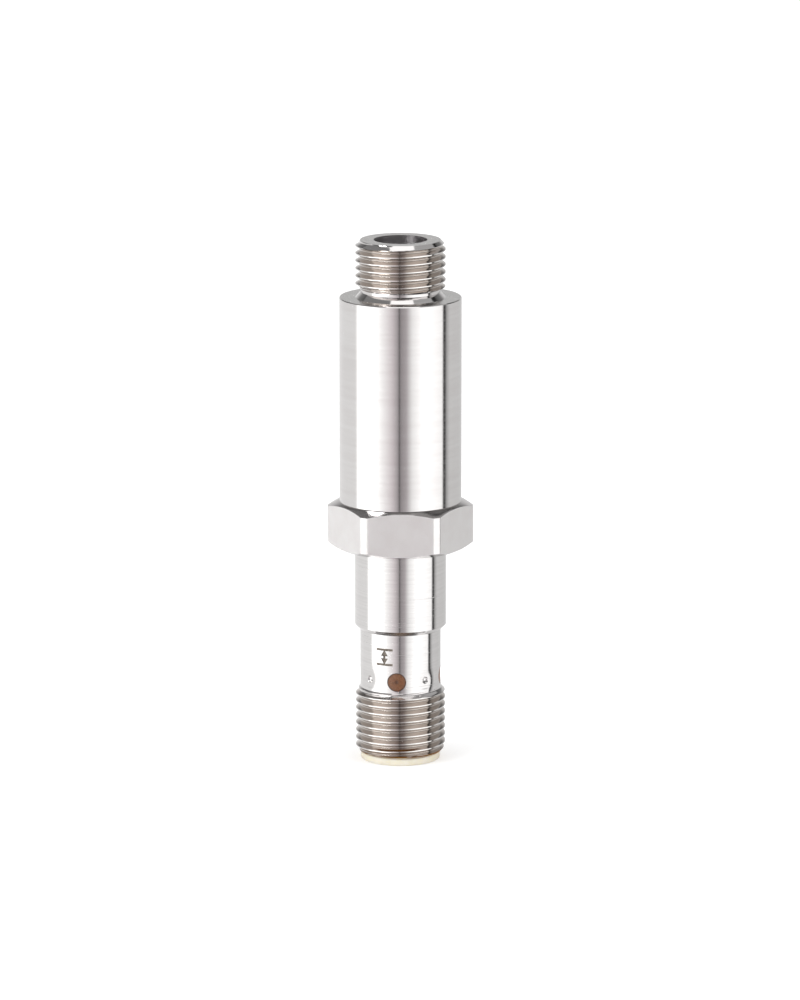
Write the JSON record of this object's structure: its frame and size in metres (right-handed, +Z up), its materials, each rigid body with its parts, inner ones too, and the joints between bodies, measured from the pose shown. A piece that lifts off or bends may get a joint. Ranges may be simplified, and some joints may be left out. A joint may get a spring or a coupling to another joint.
{
  "type": "position sensor",
  "caption": "Screw-in inductive position sensor in stainless steel: bored threaded nose, smooth barrel, hexagon, neck and plug end with amber windows.",
  "frame": {"origin": "centre of the plug rim on its lowest plane, with the sensor standing on its plug end", "axes": "+Z up the turned body's axis towards the bored nose, -Y to the front, with one window 5.5 degrees left of it, hexagon flats square to Y"},
  "size_m": [0.019, 0.017, 0.0693],
  "materials": {
    "turned_steel": "stainless steel, fine turned, polished on threads and cones",
    "milled_steel": "stainless steel, neck fine turned, hexagon faces satin",
    "tube_steel": "stainless steel tube, drawn",
    "ivory_plastic": "moulded ivory nylon",
    "amber_plastic": "clear amber polycarbonate",
    "gold_contact": "gold plated brass, turned",
    "seal_rubber": "moulded nitrile rubber",
    "bobbin_plastic": "moulded glass-filled plastic",
    "copper_winding": "enamelled copper wire, wound",
    "soft_iron": "nickel plated soft iron",
    "spring_steel": "spring steel strip",
    "tinned_pin": "tinned wire",
    "board_laminate": "green solder mask on laminate",
    "chip_moulding": "black moulding compound",
    "ceramic": "fired ceramic with tinned ends",
    "lamp_plastic": "clear casting resin on a white body"
  },
  "bodies": {
    "root": {"front_housing": "turned_steel", "rear_housing": "milled_steel", "connector_sleeve": "turned_steel", "pressure_tube": "tube_steel", "tube_seal": "seal_rubber", "housing_seal": "seal_rubber", "carrier_seal": "seal_rubber", "coil_bobbin": "bobbin_plastic", "primary_winding": "copper_winding", "secondary_winding_front": "copper_winding", "secondary_winding_rear": "copper_winding", "shield_sleeve": "soft_iron", "shield_washer_front": "soft_iron", "shield_washer_rear": "soft_iron", "disc_spring": "spring_steel", "coil_pin_1": "tinned_pin", "coil_pin_2": "tinned_pin", "coil_pin_3": "tinned_pin", "coil_pin_4": "tinned_pin", "coil_board": "board_laminate", "circuit_board": "board_laminate", "led_board": "board_laminate", "signal_chip": "chip_moulding", "driver_chip": "chip_moulding", "capacitor_1": "ceramic", "capacitor_2": "ceramic", "resistor_1": "ceramic", "resistor_2": "ceramic", "led_1": "lamp_plastic", "led_2": "lamp_plastic", "led_3": "lamp_plastic", "led_4": "lamp_plastic", "light_ring": "amber_plastic", "contact_carrier": "ivory_plastic", "contact_pin_1": "gold_contact", "contact_pin_2": "gold_contact", "contact_pin_3": "gold_contact", "contact_pin_4": "gold_contact"}
  },
  "joints": []
}
